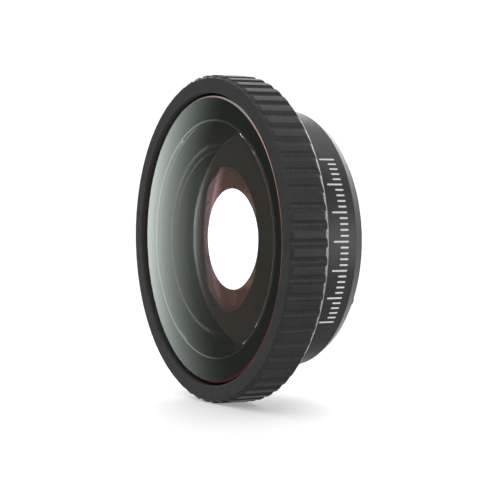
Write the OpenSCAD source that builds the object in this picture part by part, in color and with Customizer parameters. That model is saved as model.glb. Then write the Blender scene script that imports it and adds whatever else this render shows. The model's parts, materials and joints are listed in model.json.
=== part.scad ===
// Wide-view add-on lens for a small camera.
// The lens axis lies along Y: the glass looks towards -Y, the camera sits on the +Y side,
// and +Z is up. The origin is the centre of the rear face that seats on the camera.
// Every module is drawn in the lens frame, where z runs forward from that seat along the
// lens axis and y is up, and lens_frame() turns it into place.

/* [Overall] */
// Diameter over the ribs of the grip ring
ring_d = 46; // [44:0.5:60]
// Length from the camera seat to the front rim
total_len = 15; // [14.5:0.25:24]
// Diameter of the barrel behind the grip ring
barrel_d = 36.4; // [36:0.2:38.4]

/* [Grip ring] */
// Length of the grip ring along the lens axis
ring_len = 6.2; // [5.4:0.1:7.4]
// Wall between the front glass pocket and the tips of the ribs
ring_wall = 2.5; // [2:0.1:3.2]
// Number of grip ribs
rib_count = 60; // [36:1:72]
// Depth of the grooves between the ribs
groove_depth = 0.42; // [0.2:0.02:0.6]
// Width of a groove at the rib tips
groove_w = 1.3; // [0.8:0.05:1.6]
// Chamfer at the front end of the ribs
front_chamfer = 0.45; // [0.2:0.05:0.8]
// Bright-cut chamfer at the rear end of the ribs
rear_chamfer = 0.8; // [0.3:0.05:1.2]

/* [Barrel] */
// Step from the barrel's outside down to the neck inside the grip ring
neck_step = 0.7; // [0.4:0.1:1.2]
// Length of the bright-cut cone at the rear of the barrel
rear_cone_len = 1.3; // [0.8:0.1:1.8]
// Drop in radius over that cone
rear_cone_drop = 0.8; // [0.4:0.05:0.9]
// Wall between the barrel's outside and the mount ring
barrel_wall = 1.25; // [1.1:0.05:1.5]

/* [Front element] */
// Gap round the edge of the front glass
glass_gap = 0.4; // [0.25:0.05:0.6]
// Recess of the glass edge below the front rim
rim_recess = 0.4; // [0.2:0.05:1]
// Thickness of the front glass at its edge
front_edge_t = 3.1; // [2.8:0.1:3.6]
// Thickness of the front glass on the axis
front_centre_t = 1.4; // [1.2:0.1:2]
// Radius of curvature of the outer face
front_curve = 110; // [90:5:200]
// Width of the ground ring round the hollow in the back of the front glass
ground_ring_w = 3.9; // [3.4:0.1:4.4]
// Bevel on the front edge of the glass
glass_bevel = 0.25; // [0.1:0.05:0.4]

/* [Middle element] */
// Diameter of the middle element
middle_d = 24.8; // [24:0.2:26]
// Distance from the glass edge of the front element back to the middle element's face
middle_setback = 3.5; // [3.2:0.1:4]
// Thickness of the middle element on the axis
middle_t = 2; // [1.6:0.1:2.4]
// Radius of curvature of its front face, bulging forward
middle_front_curve = 75; // [60:5:120]
// Radius of curvature of its hollow rear face
middle_rear_curve = 100; // [70:5:160]

/* [Rear element] */
// Diameter of the rear element
rear_d = 21.8; // [20:0.2:22.4]
// Air gap on the axis between the middle and rear elements
rear_air_gap = 0.4; // [0.3:0.05:0.5]
// Thickness of the rear element on the axis
rear_t = 2; // [1.8:0.1:2.4]
// Radius of curvature of its front face
rear_front_curve = 70; // [60:5:120]
// Radius of curvature of its rear face, bulging backward
rear_rear_curve = 170; // [100:5:220]
// Diameter of the hole in the stop behind the rear element
stop_d = 15; // [10:0.5:17]

/* [Camera socket] */
// Wall between the mount ring's outside and the socket
mount_wall = 2.1; // [2:0.05:2.3]
// Depth of the mount ring
mount_len = 3.4; // [3:0.1:3.8]
// Radial step between the socket and the bore that centres the camera's snout
pilot_step = 0.9; // [0.8:0.05:1.2]
// Height of each bayonet lug, towards the axis
lug_h = 0.7; // [0.4:0.05:0.75]
// Thickness of each lug along the axis
lug_t = 1.2; // [0.8:0.1:1.6]
// Angle that one lug spans
lug_angle = 44; // [30:1:56]

/* [Click pins] */
// Diameter of a pin's head
pin_head_d = 1.36; // [1.2:0.02:1.4]
// Diameter of the tip that stands out of the seat
pin_tip_d = 1; // [0.8:0.02:1.1]
// How far the tip stands out, which is also the pin's travel
pin_travel = 0.45; // [0.3:0.05:0.6]
// Radial clearance round the head and the tip
pin_clear = 0.04; // [0.02:0.01:0.06]

/* [Screws] */
// Diameter of a mount screw's thread
screw_d = 1; // [0.8:0.1:1.1]
// Diameter of its countersunk head
screw_head_d = 1.9; // [1.6:0.1:1.9]
// Length of a mount screw
screw_len = 5; // [4.4:0.1:5.6]

/* [Hidden] */
$fn = 96;

// Small values shared by several parts
eps = 0.02;            // overshoot that keeps cutting faces off the faces they cut
over = 1;              // longer overshoot of a drill or boring bar
fit = 0.02;            // radial clearance of a part dropped into its bore
ring_floor = 2;        // least width of the ring's floor under the front glass
gasket_t = 0.25;       // thickness of the front gasket
seal_t = 0.6;          // thickness of the socket seal
seal_w = 1.05;         // width of the socket seal's ring
seal_gap = 0.15;       // step from the centring bore out to the seal
head_clear = 0.03;     // clearance of a screw head in its countersink
screw_clear = 0.05;    // radial clearance of a screw in the mount ring
screw_spare = 0.3;     // depth of the tapped hole beyond the screw's end
slot_w = 1;            // width of a spanner slot
slot_depth = 0.5;      // depth of a spanner slot
baffle_thread = 0.7;   // wall of the neck round the baffle's thread
baffle_lip = 0.7;      // width of the baffle's front face
baffle_edge = 0.25;    // height of the baffle's inner edge above the glass
baffle_seat = 0.9;     // height of the baffle's shelf above the middle element's seat
retainer_lip = 0.4;    // how far the retaining ring reaches outside the rear element
retainer_hold = 1;     // how far it reaches inside
retainer_bevel = 0.5;  // flare of its bore towards the rear
retainer_t = 0.8;      // its thickness
stop_gap = 0.6;        // distance from the rear element's vertex back to the stop
stop_t = 0.3;          // thickness of the stop
flange_t = 0.6;        // thickness of the mount ring's flange
flange_bevel = 0.7;    // bevel round the flange's rear face
lug_back = 0.3;        // station of the lugs' rear faces
lug_root = 0.2;        // how deep a lug runs into the wall that carries it
pin_shelf = 0.5;       // station of the shelf in the mount ring that stops a pin's head
pin_head_t = 0.45;     // thickness of a pin's head
spring_wire_d = 0.18;  // diameter of the click springs' wire
spring_gap = 0.02;     // clearance inside the rim of the pin's head
spring_touch = 0.01;   // clearance at each end of a click spring
rim_flat = 0.6;        // width of the flat seat ground on the middle and rear elements
stations = 3;          // lugs, pins and screws are each set out at three stations
station_pitch = 360 / stations;
dot_r = 0.6;           // radius of the enamel index dot on top of the barrel
dot_t = 0.3;           // depth of its pocket
lug_first = 90;        // angle of the first lug and the first screw
pin_first = 30;        // angle of the first click pin

// Radii
ring_r = ring_d / 2;
pocket_r = ring_r - ring_wall;
glass_r = pocket_r - glass_gap;
hollow_r = glass_r - ground_ring_w;
barrel_r = barrel_d / 2;
neck_r = min(barrel_r - neck_step, glass_r - ring_floor);
middle_r = middle_d / 2;
rear_r = rear_d / 2;
middle_clear_r = middle_r - 2 * rim_flat;
rear_clear_r = rear_r - rim_flat;
baffle_r = neck_r - baffle_thread;
retainer_r = rear_r + retainer_lip;
mount_r = barrel_r - barrel_wall;
socket_r = mount_r - mount_wall;
pilot_r = socket_r - pilot_step;
seal_r = pilot_r + seal_gap + seal_w;
flange_r = barrel_r - rear_cone_drop;
station_r = (mount_r + socket_r) / 2;

// Stations along the axis, forward from the camera seat
ring_back = total_len - ring_len;
glass_front = total_len - rim_recess;
glass_back = glass_front - front_edge_t;
glass_peak = glass_front + sag(front_curve, glass_r);
hollow_peak = glass_peak - front_centre_t;
hollow_depth = hollow_peak - glass_back;
hollow_curve = (hollow_r * hollow_r + hollow_depth * hollow_depth) / (2 * hollow_depth);
pocket_back = glass_back - gasket_t;
neck_front = pocket_back;
middle_front = glass_front - middle_setback;
middle_back = middle_front - middle_t;
middle_seat = middle_back - sag(middle_rear_curve, middle_clear_r);
middle_shelf = middle_seat + baffle_seat;
rear_front = middle_back - rear_air_gap;
rear_back = rear_front - rear_t;
rear_front_seat = rear_front - sag(rear_front_curve, rear_clear_r);
rear_back_seat = rear_back + sag(rear_rear_curve, rear_clear_r);
stop_back = rear_back - stop_gap;
web_back = stop_back - retainer_t;
cone_start = flange_t + rear_cone_len;
seal_front = mount_len + seal_t;

// Drop of a sphere of radius curve at a distance h from its axis
function sag(curve, h) = curve - sqrt(curve * curve - h * h);

// Turns the lens frame into place: forward along -Y, up along +Z
module lens_frame() {
    rotate([90, 0, 0]) children();
}

// A plain ring between two stations
module tube(r_out, r_in, z_low, z_high) {
    translate([0, 0, z_low])
        difference() {
            cylinder(r = r_out, h = z_high - z_low);
            translate([0, 0, -eps]) cylinder(r = r_in, h = z_high - z_low + 2 * eps);
        }
}

// Repeats its children at the three stations round the axis, at radius r
module at_stations(first, r) {
    for (i = [0 : stations - 1])
        rotate(first + i * station_pitch) translate([r, 0, 0]) children();
}

// Places its children at one numbered click pin
module at_pin(number) {
    rotate(pin_first + (number - 1) * station_pitch) translate([station_r, 0, 0]) children();
}

// Knurled ring that the fingers turn; it also holds the front glass
module grip_ring() {
    pitch_angle = 360 / rib_count;
    groove_floor_r = ring_r - groove_depth;
    // A groove is cut by a round-nosed tool, whose radius follows from depth and width
    tool_r = (groove_w * groove_w / 4 + groove_depth * groove_depth) / (2 * groove_depth);
    color([0.15, 0.15, 0.155])
        lens_frame()
            difference() {
                rotate_extrude($fn = 240)
                    polygon([
                        [neck_r + fit, ring_back],
                        [ring_r - rear_chamfer, ring_back],
                        [ring_r, ring_back + rear_chamfer],
                        [ring_r, total_len - front_chamfer],
                        [ring_r - front_chamfer, total_len],
                        [pocket_r, total_len],
                        [pocket_r, pocket_back],
                        [neck_r + fit, pocket_back]
                    ]);
                for (i = [0 : rib_count - 1])
                    rotate((i + 0.5) * pitch_angle)
                        translate([groove_floor_r + tool_r, 0, ring_back - over])
                            cylinder(r = tool_r, h = ring_len + 2 * over, $fn = 32);
            }
}

// Outer meniscus: domed face forward, wide hollow behind, flat ground ring round the hollow
module front_element() {
    bevel_r = glass_r - glass_bevel;
    color([0.62, 0.72, 0.7, 0.4])
        lens_frame()
            intersection() {
                difference() {
                    translate([0, 0, glass_peak - front_curve]) sphere(r = front_curve, $fn = 360);
                    translate([0, 0, hollow_peak - hollow_curve]) sphere(r = hollow_curve, $fn = 200);
                    translate([0, 0, glass_back - 4 * front_curve])
                        cylinder(r = 2 * front_curve, h = 4 * front_curve);
                }
                rotate_extrude($fn = 200)
                    polygon([
                        [0, glass_back - over],
                        [glass_r, glass_back - over],
                        [glass_r, glass_front - glass_bevel],
                        [bevel_r - over, glass_front + over],
                        [bevel_r - over, glass_peak + over],
                        [0, glass_peak + over]
                    ]);
            }
}

// Black sealing bead in the gap round the glass, kept below the rim
module edge_seal() {
    color([0.03, 0.03, 0.03])
        lens_frame() tube(pocket_r, glass_r, pocket_back, glass_front - 3 * glass_bevel);
}

// Thin gasket between the ground ring of the glass and the floor of its pocket
module front_gasket() {
    color([0.04, 0.04, 0.04])
        lens_frame() tube(glass_r - fit, hollow_r + 5 * fit, pocket_back, glass_back);
}

// Main body: neck inside the ring, seats for the middle and rear elements, socket for the mount
module barrel() {
    color([0.3, 0.3, 0.31])
        lens_frame()
            difference() {
                rotate_extrude($fn = 200)
                    polygon([
                        [stop_d / 2, flange_t],
                        [flange_r, flange_t],
                        [barrel_r, cone_start],
                        [barrel_r, ring_back],
                        [neck_r, ring_back],
                        [neck_r, neck_front],
                        [stop_d / 2, neck_front]
                    ]);
                // Pocket for the baffle and the middle element
                translate([0, 0, middle_shelf]) cylinder(r = baffle_r, h = total_len);
                translate([0, 0, middle_seat]) cylinder(r = middle_r + fit, h = total_len);
                // Opening in the web between the middle and rear elements
                cylinder(r = rear_clear_r, h = total_len);
                // Pocket for the rear element, from behind
                translate([0, 0, -over]) cylinder(r = rear_r + fit, h = rear_front_seat + over);
                translate([0, 0, -over]) cylinder(r = retainer_r, h = stop_back + over);
                // Bore that centres the camera's snout, the seal's recess and the mount ring's pocket
                translate([0, 0, -over]) cylinder(r = pilot_r, h = web_back + over, $fn = 200);
                translate([0, 0, -over]) cylinder(r = seal_r + fit, h = seal_front + over);
                translate([0, 0, -over]) cylinder(r = mount_r + fit, h = mount_len + over);
                // Tapped holes for the mount screws
                at_stations(lug_first, station_r)
                    cylinder(r = screw_d / 2, h = screw_len + screw_spare, $fn = 24);
                // Pocket for the index dot
                dot_pocket();
            }
}

// Blackened cone in front of the middle element, screwed down on its rim
module inner_baffle() {
    rim_z = middle_front - sag(middle_front_curve, middle_r);
    lip_z = middle_front - sag(middle_front_curve, middle_clear_r);
    color([0.07, 0.07, 0.07])
        lens_frame()
            difference() {
                rotate_extrude($fn = 160)
                    polygon([
                        [middle_clear_r, lip_z + fit],
                        [middle_r + fit, rim_z + fit],
                        [middle_r + fit, middle_shelf],
                        [baffle_r - fit, middle_shelf],
                        [baffle_r - fit, neck_front],
                        [baffle_r - baffle_lip, neck_front],
                        [middle_clear_r, lip_z + baffle_edge]
                    ]);
                // Two slots for the spanner that screws it down
                for (side = [0, 180])
                    rotate(side)
                        translate([baffle_r - 2 * slot_w, -slot_w / 2, neck_front - slot_depth])
                            cube([3 * slot_w, slot_w, slot_depth + over]);
            }
}

// Middle lens: bulging front, hollow rear with a flat ground seat
module middle_element() {
    color([0.72, 0.62, 0.62, 0.4])
        lens_frame()
            difference() {
                intersection() {
                    cylinder(r = middle_r, h = total_len, $fn = 160);
                    translate([0, 0, middle_front - middle_front_curve])
                        sphere(r = middle_front_curve, $fn = 240);
                }
                translate([0, 0, middle_back - middle_rear_curve]) sphere(r = middle_rear_curve, $fn = 240);
                translate([0, 0, middle_seat - total_len]) cylinder(r = middle_d, h = total_len);
            }
}

// Rear lens: bulging on both faces, each with a flat ground seat at its rim
module rear_element() {
    color([0.66, 0.68, 0.74, 0.4])
        lens_frame()
            intersection() {
                translate([0, 0, rear_front - rear_front_curve]) sphere(r = rear_front_curve, $fn = 400);
                translate([0, 0, rear_back + rear_rear_curve]) sphere(r = rear_rear_curve, $fn = 600);
                rotate_extrude($fn = 160)
                    polygon([
                        [0, 0],
                        [rear_clear_r, 0],
                        [rear_clear_r, rear_back_seat],
                        [rear_r, rear_back_seat],
                        [rear_r, rear_front_seat],
                        [rear_clear_r, rear_front_seat],
                        [rear_clear_r, total_len],
                        [0, total_len]
                    ]);
            }
}

// Thin black stop behind the rear lens, with a rim that bears on the lens's seat
module aperture_stop() {
    color([0.06, 0.06, 0.06])
        lens_frame()
            rotate_extrude($fn = 160)
                polygon([
                    [stop_d / 2, stop_back],
                    [rear_r, stop_back],
                    [rear_r, rear_back_seat],
                    [rear_clear_r, rear_back_seat],
                    [rear_clear_r, stop_back + stop_t],
                    [stop_d / 2 + stop_t / 2, stop_back + stop_t]
                ]);
}

// Threaded ring that holds the stop and the rear lens from behind
module rear_retaining_ring() {
    bore_r = rear_r - retainer_hold;
    color([0.08, 0.08, 0.08])
        lens_frame()
            difference() {
                rotate_extrude($fn = 160)
                    polygon([
                        [bore_r, stop_back],
                        [bore_r + retainer_bevel, web_back],
                        [retainer_r - fit, web_back],
                        [retainer_r - fit, stop_back]
                    ]);
                for (side = [0, 180])
                    rotate(side)
                        translate([bore_r - slot_w, -slot_w / 2, web_back - over])
                            cube([4 * slot_w, slot_w, over + slot_depth]);
            }
}

// Rubber washer that seals on the camera's snout
module socket_seal() {
    color([0.05, 0.05, 0.05])
        lens_frame() tube(seal_r, seal_r - seal_w, mount_len, seal_front);
}

// Bayonet ring: flange that seats on the camera, sleeve inside the barrel, three inward lugs
module mount_ring() {
    sink_r = screw_head_d / 2 + head_clear;
    color([0.12, 0.12, 0.125])
        lens_frame()
            difference() {
                union() {
                    rotate_extrude($fn = 200)
                        polygon([
                            [socket_r, 0],
                            [flange_r - flange_bevel, 0],
                            [flange_r, flange_t],
                            [mount_r, flange_t],
                            [mount_r, mount_len],
                            [socket_r, mount_len]
                        ]);
                    lugs();
                }
                at_stations(lug_first, station_r) {
                    translate([0, 0, -eps])
                        cylinder(r = screw_d / 2 + screw_clear, h = total_len, $fn = 24);
                    translate([0, 0, -eps])
                        cylinder(r1 = sink_r + eps, r2 = 0, h = sink_r + eps, $fn = 48);
                }
                at_stations(pin_first, station_r) {
                    translate([0, 0, pin_shelf])
                        cylinder(r = pin_head_d / 2 + pin_clear, h = total_len, $fn = 32);
                    translate([0, 0, -over])
                        cylinder(r = pin_tip_d / 2 + pin_clear, h = total_len, $fn = 32);
                }
            }
}

// The three lugs, each a piece of a ring
module lugs() {
    for (i = [0 : stations - 1])
        rotate(lug_first - lug_angle / 2 + i * station_pitch)
            rotate_extrude(angle = lug_angle, $fn = 200)
                translate([socket_r - lug_h, lug_back])
                    square([lug_h + lug_root, lug_t]);
}

// Three countersunk screws through the mount ring into the barrel
module mount_screws() {
    head_r = screw_head_d / 2;
    color([0.35, 0.35, 0.36])
        lens_frame()
            at_stations(lug_first, station_r)
                difference() {
                    union() {
                        cylinder(r1 = head_r, r2 = 0, h = head_r, $fn = 48);
                        cylinder(r = screw_d / 2, h = screw_len, $fn = 24);
                    }
                    cross_slot(head_r);
                }
}

// Cross recess in a screw head
module cross_slot(head_r) {
    arm = 1.1 * head_r;
    slot = 0.26;
    slot_floor = 0.33;
    for (turn = [0, 90])
        rotate(turn)
            translate([-arm / 2, -slot / 2, -eps])
                cube([arm, slot, slot_floor + eps]);
}

// Sprung pin with a round tip; its head rests on the shelf inside the mount ring
module click_pin(number) {
    tip_r = pin_tip_d / 2;
    tip_centre = tip_r - pin_travel;
    head_back = pin_shelf + fit;
    color([0.75, 0.75, 0.76])
        lens_frame()
            at_pin(number)
                union() {
                    translate([0, 0, head_back]) cylinder(r = pin_head_d / 2, h = pin_head_t, $fn = 32);
                    translate([0, 0, tip_centre])
                        cylinder(r = tip_r, h = head_back + pin_head_t - tip_centre, $fn = 32);
                    translate([0, 0, tip_centre]) sphere(r = tip_r, $fn = 48);
                }
}

// Coil spring behind a click pin, from the pin's head to the barrel
module click_spring(number) {
    wire_r = spring_wire_d / 2;
    turns = 4.5;
    low = pin_shelf + fit + pin_head_t + wire_r + spring_touch;
    high = mount_len - wire_r - spring_touch;
    coil_r = pin_head_d / 2 - wire_r - spring_gap;
    color([0.7, 0.7, 0.68])
        lens_frame()
            at_pin(number)
                coil(coil_r, wire_r, low, high, turns);
}

// Round wire wound into a helix between two stations
module coil(coil_r, wire_r, z_low, z_high, turns) {
    sides = 6;
    steps = 18;
    count = floor(turns * steps);
    points = [
        for (i = [0 : count])
            for (k = [0 : sides - 1])
                let (
                    turn = 360 * i / steps,
                    around = 360 * k / sides,
                    r = coil_r + wire_r * cos(around),
                    z = z_low + (z_high - z_low) * i / count + wire_r * sin(around)
                )
                [r * cos(turn), r * sin(turn), z]
    ];
    walls = [
        for (i = [0 : count - 1])
            for (k = [0 : sides - 1])
                let (next = (k + 1) % sides)
                [i * sides + k, i * sides + next, (i + 1) * sides + next, (i + 1) * sides + k]
    ];
    caps = [
        [for (k = [sides - 1 : -1 : 0]) k],
        [for (k = [0 : sides - 1]) count * sides + k]
    ];
    polyhedron(points = points, faces = concat(walls, caps), convexity = 10);
}

// A drill's path down into the top of the barrel, starting clear above its surface
module dot_pocket() {
    translate([0, barrel_r + over, (cone_start + ring_back) / 2])
        rotate([90, 0, 0]) cylinder(r = dot_r, h = dot_t + over, $fn = 32);
}

// Red enamel dot that shows which way up the lens is offered to the camera
module index_dot() {
    color([0.8, 0.1, 0.08])
        lens_frame()
            intersection() {
                dot_pocket();
                cylinder(r = barrel_r, h = total_len, $fn = 200);
            }
}

grip_ring();
front_element();
edge_seal();
front_gasket();
barrel();
inner_baffle();
middle_element();
rear_element();
aperture_stop();
rear_retaining_ring();
socket_seal();
mount_ring();
mount_screws();
click_pin(1);  // click_pin_1
click_pin(2);  // click_pin_2
click_pin(3);  // click_pin_3
click_spring(1);  // click_spring_1
click_spring(2);  // click_spring_2
click_spring(3);  // click_spring_3
index_dot();
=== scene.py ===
"""Wide-view add-on lens: its finished surfaces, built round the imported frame.

The lens axis lies along Y and the glass looks towards -Y. Every shape is worked out in the lens's own
terms, a distance from the axis and a station forward of the camera seat, and then laid in the frame.
"""

import json
import logging
import math
from dataclasses import dataclass, field
from enum import Enum, IntEnum

import bpy
import numpy as np
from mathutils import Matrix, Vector


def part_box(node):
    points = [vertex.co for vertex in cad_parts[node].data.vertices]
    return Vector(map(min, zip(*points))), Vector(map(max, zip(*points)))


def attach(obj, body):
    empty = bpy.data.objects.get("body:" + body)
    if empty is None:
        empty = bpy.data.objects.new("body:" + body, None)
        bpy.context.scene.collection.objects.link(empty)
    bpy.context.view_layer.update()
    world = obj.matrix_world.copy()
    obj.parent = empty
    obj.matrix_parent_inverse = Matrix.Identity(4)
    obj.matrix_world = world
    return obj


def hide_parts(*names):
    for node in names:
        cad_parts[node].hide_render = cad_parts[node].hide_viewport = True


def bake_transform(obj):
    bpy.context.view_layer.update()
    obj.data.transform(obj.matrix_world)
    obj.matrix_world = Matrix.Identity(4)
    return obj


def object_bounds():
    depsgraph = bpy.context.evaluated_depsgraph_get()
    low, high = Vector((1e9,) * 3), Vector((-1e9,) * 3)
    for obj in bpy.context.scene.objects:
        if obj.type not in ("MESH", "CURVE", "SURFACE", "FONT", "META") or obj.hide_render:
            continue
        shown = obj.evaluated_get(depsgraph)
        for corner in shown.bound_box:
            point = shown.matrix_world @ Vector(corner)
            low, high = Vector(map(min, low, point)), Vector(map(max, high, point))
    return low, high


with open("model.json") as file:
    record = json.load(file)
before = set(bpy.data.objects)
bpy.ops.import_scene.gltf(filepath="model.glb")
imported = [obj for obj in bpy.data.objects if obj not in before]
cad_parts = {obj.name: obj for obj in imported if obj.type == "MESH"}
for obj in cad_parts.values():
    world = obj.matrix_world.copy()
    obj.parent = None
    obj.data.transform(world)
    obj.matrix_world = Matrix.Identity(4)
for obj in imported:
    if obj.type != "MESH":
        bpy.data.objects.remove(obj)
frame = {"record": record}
frame_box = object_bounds()

MM = 0.001
FIT = 0.005 * MM  # leaves a piece just clear of the one it touches
LENS_SEAT = 0.6 * MM  # width of the flat seat round the rear lens; the middle one's is twice as wide

Span = tuple[float, float]
Triple = tuple[float, float, float]
Colour = Triple
Socket = bpy.types.NodeSocket
WHITE: Colour = (1.0, 1.0, 1.0)
UNIT: Span = (0.0, 1.0)
MOST_NOISE: Span = (0.3, 0.7)  # where nearly all values of a noise lie

log = logging.getLogger("wide_view_lens")


class Body(Enum):
    """The bodies of the frame that a piece may ride on."""

    LENS = "lens_body"
    PIN_1 = "pin_1"
    PIN_2 = "pin_2"
    PIN_3 = "pin_3"


class Slot(Enum):
    """The record's material slots."""

    RING = "ring_anodising"
    BARREL = "barrel_anodising"
    MOUNT = "mount_anodising"
    BLACKENING = "blackening"
    FRONT_GLASS = "front_glass"
    MIDDLE_GLASS = "middle_glass"
    REAR_GLASS = "rear_glass"
    RUBBER = "black_rubber"
    SCREWS = "screw_steel"
    PINS = "pin_steel"
    SPRINGS = "spring_steel"
    ENAMEL = "red_enamel"
    INK = "white_print"


class Face(IntEnum):
    """Which of a lens's finishes a stretch of its profile takes, by its place in the piece's list."""

    POLISHED = 0
    PAINTED = 1
    BEVEL = 2
    CHAMFER = 3


class Ramp(Enum):
    """How a ramp goes from its low end to its high end."""

    SMOOTH = "SMOOTHSTEP"
    STRAIGHT = "LINEAR"


# ---------------------------------------------------------------------------------------------------
# Finishes


class NodeNet:
    """A tree of shader nodes, with short calls for the few kinds that finishes and surround use."""

    def __init__(self, tree: bpy.types.NodeTree) -> None:
        """Takes the tree to add nodes to."""
        self.tree = tree

    def node(self, kind: str, **settings: object) -> bpy.types.Node:
        """Adds a node and sets its properties.

        Args:
            kind: Blender's name of the node's type.
            settings: the properties to set, by name.

        Returns:
            The new node.
        """
        made = self.tree.nodes.new(kind)
        for name, value in settings.items():
            setattr(made, name, value)
        return made

    def feed(self, socket: Socket, value: Socket | Triple | float) -> None:
        """Links another socket to this one, or sets its value.

        Args:
            socket: the input to feed.
            value: an output, a number, a vector, or a colour without its alpha.
        """
        if isinstance(value, Socket):
            self.tree.links.new(value, socket)
        elif socket.type == "RGBA":
            socket.default_value = (*value, 1.0)
        else:
            socket.default_value = value

    def parts(self, vector: Socket) -> dict[str, Socket]:
        """Takes a vector apart.

        Args:
            vector: the output that carries it.

        Returns:
            Its three parts, under "X", "Y" and "Z".
        """
        made = self.node("ShaderNodeSeparateXYZ")
        self.feed(made.inputs["Vector"], vector)
        return {axis: made.outputs[axis] for axis in "XYZ"}

    def ramp(self, value: Socket, source: Span, target: Span, shape: Ramp = Ramp.SMOOTH) -> Socket:
        """Maps one range on to another, and holds the value at both ends.

        Args:
            value: what is mapped.
            source: the range it comes in.
            target: the range it goes to.
            shape: smooth, or straight.

        Returns:
            The mapped value.
        """
        made = self.node("ShaderNodeMapRange", interpolation_type=shape.value, clamp=True)
        for name, number in zip(("From Min", "From Max", "To Min", "To Max"), (*source, *target)):
            made.inputs[name].default_value = number
        self.feed(made.inputs["Value"], value)
        return made.outputs["Result"]

    def maths(self, operation: str, *values: Socket | float) -> Socket:
        """Works out one sum.

        Args:
            operation: Blender's name of the operation.
            values: what it works on, in order.

        Returns:
            The result.
        """
        made = self.node("ShaderNodeMath", operation=operation)
        for socket, value in zip(made.inputs, values):
            self.feed(socket, value)
        return made.outputs["Value"]

    def choose(self, share: Socket, first: Socket | float, second: Socket | float) -> Socket:
        """A number between two others.

        Args:
            share: 0 gives the first, 1 the second.
            first: one number.
            second: the other.

        Returns:
            The mixed number.
        """
        made = self.node("ShaderNodeMix", data_type="FLOAT")
        for name, value in (("Factor", share), ("A", first), ("B", second)):
            self.feed(made.inputs[name], value)
        return made.outputs["Result"]

    def blend(self, share: Socket, first: Socket | Colour, second: Socket | Colour) -> Socket:
        """A colour between two others.

        Args:
            share: 0 gives the first, 1 the second.
            first: one colour.
            second: the other.

        Returns:
            The mixed colour.
        """
        made = self.node("ShaderNodeMix", data_type="RGBA")
        colours = [socket for socket in made.inputs if socket.type == "RGBA"]
        for socket, value in zip((made.inputs["Factor"], *colours), (share, first, second)):
            self.feed(socket, value)
        return next(socket for socket in made.outputs if socket.type == "RGBA")


class ShaderNet(NodeNet):
    """The nodes of a new material, round its principled shader."""

    def __init__(self, name: str) -> None:
        """Makes the material.

        Args:
            name: the material's name.
        """
        self.material = bpy.data.materials.new(name)
        self.material.use_nodes = True
        super().__init__(self.material.node_tree)
        self.shader = self.tree.nodes["Principled BSDF"]

    def millimetres(self, stretch: Triple = (1.0, 1.0, 1.0)) -> Socket:
        """Object coordinates in millimetres.

        Args:
            stretch: how much finer the pattern is along each axis.

        Returns:
            The socket that carries them.
        """
        place = self.node("ShaderNodeTexCoord")
        mapping = self.node("ShaderNodeMapping")
        self.feed(mapping.inputs["Scale"], tuple(s / MM for s in stretch))
        self.feed(mapping.inputs["Vector"], place.outputs["Object"])
        return mapping.outputs["Vector"]

    def noise(self, where: Socket, scale: float, detail: float = 3.0) -> Socket:
        """Cloudy noise from 0 to 1.

        Args:
            where: coordinates in millimetres.
            scale: how many lumps there are in each millimetre.
            detail: how often finer lumps are laid over them.

        Returns:
            The noise.
        """
        made = self.node("ShaderNodeTexNoise")
        made.inputs["Scale"].default_value = scale
        made.inputs["Detail"].default_value = detail
        self.feed(made.inputs["Vector"], where)
        return made.outputs["Fac"]

    def attribute(self, name: str) -> Socket:
        """The value that the mesh carries under a name, 0 where it has none."""
        return self.node("ShaderNodeAttribute", attribute_name=name).outputs["Fac"]

    def bump(self, height: Socket, depth: float, strength: float = 1.0) -> Socket:
        """Turns a height from 0 to 1 into a relief.

        Args:
            height: the height.
            depth: how deep the relief is, in metres.
            strength: how much of it shows.

        Returns:
            The normal for the shader.
        """
        made = self.node("ShaderNodeBump")
        made.inputs["Strength"].default_value = strength
        made.inputs["Distance"].default_value = depth
        self.feed(made.inputs["Height"], height)
        return made.outputs["Normal"]

    def dress(self, **values: Socket | Colour | float) -> bpy.types.Material:
        """Feeds the principled shader.

        Args:
            values: what goes in each socket, with underscores for the spaces in the sockets' names.

        Returns:
            The finished material.
        """
        for name, value in values.items():
            self.feed(self.shader.inputs[name.replace("_", " ")], value)
        return self.material


@dataclass(frozen=True)
class Anodising:
    """Dyed anodised aluminium: fine grain, clouded gloss, bright metal where a tool cut it last, and painted
    glints flecked along the groove floors.
    """

    name: str
    dye: Colour
    worn: Colour
    metal: float
    gloss: Span
    bright: Colour = (0.19, 0.19, 0.195)
    cut_roughness: float = 0.26
    specular: float = 0.25
    clouds_per_mm: float = 0.35
    gloss_per_mm: float = 1.7
    grain_per_mm: float = 9.0
    grain_depth: float = 0.003 * MM
    grain_strength: float = 0.8
    flecks_per_mm: float = 7.5
    fleck_edge: Span = (0.58, 0.66)
    groove_glint: float = 0.0

    def material(self) -> bpy.types.Material:
        """Builds the material, which reads the attributes 'bright' and 'groove' where a mesh has them.

        Returns:
            The finished material.
        """
        net = ShaderNet(self.name)
        place = net.millimetres()
        clouds = net.ramp(net.noise(place, self.clouds_per_mm), MOST_NOISE, UNIT)
        grain = net.noise(place, self.grain_per_mm, detail=4.0)
        # painted highlight: flecks of bright metal in the groove floors stand in for the glint along them
        flecks = net.ramp(
            net.noise(place, self.flecks_per_mm, detail=2.0), self.fleck_edge, (0.0, self.groove_glint)
        )
        painted_groove_glint = net.maths("MULTIPLY", flecks, net.attribute("groove"))
        dyed = net.blend(painted_groove_glint, net.blend(clouds, self.dye, self.worn), self.bright)
        rough = net.ramp(net.noise(place, self.gloss_per_mm), MOST_NOISE, self.gloss)
        cut = net.attribute("bright")
        smooth_cut = net.maths("MULTIPLY", cut, self.cut_roughness)
        rest = net.maths("MULTIPLY", net.maths("SUBTRACT", 1.0, cut), rough)
        return net.dress(
            Base_Color=net.blend(cut, dyed, self.bright),
            Metallic=net.maths("MAXIMUM", cut, self.metal),
            Specular_IOR_Level=self.specular,
            Roughness=net.maths("ADD", smooth_cut, rest),
            Normal=net.bump(grain, self.grain_depth, self.grain_strength),
        )


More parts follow.
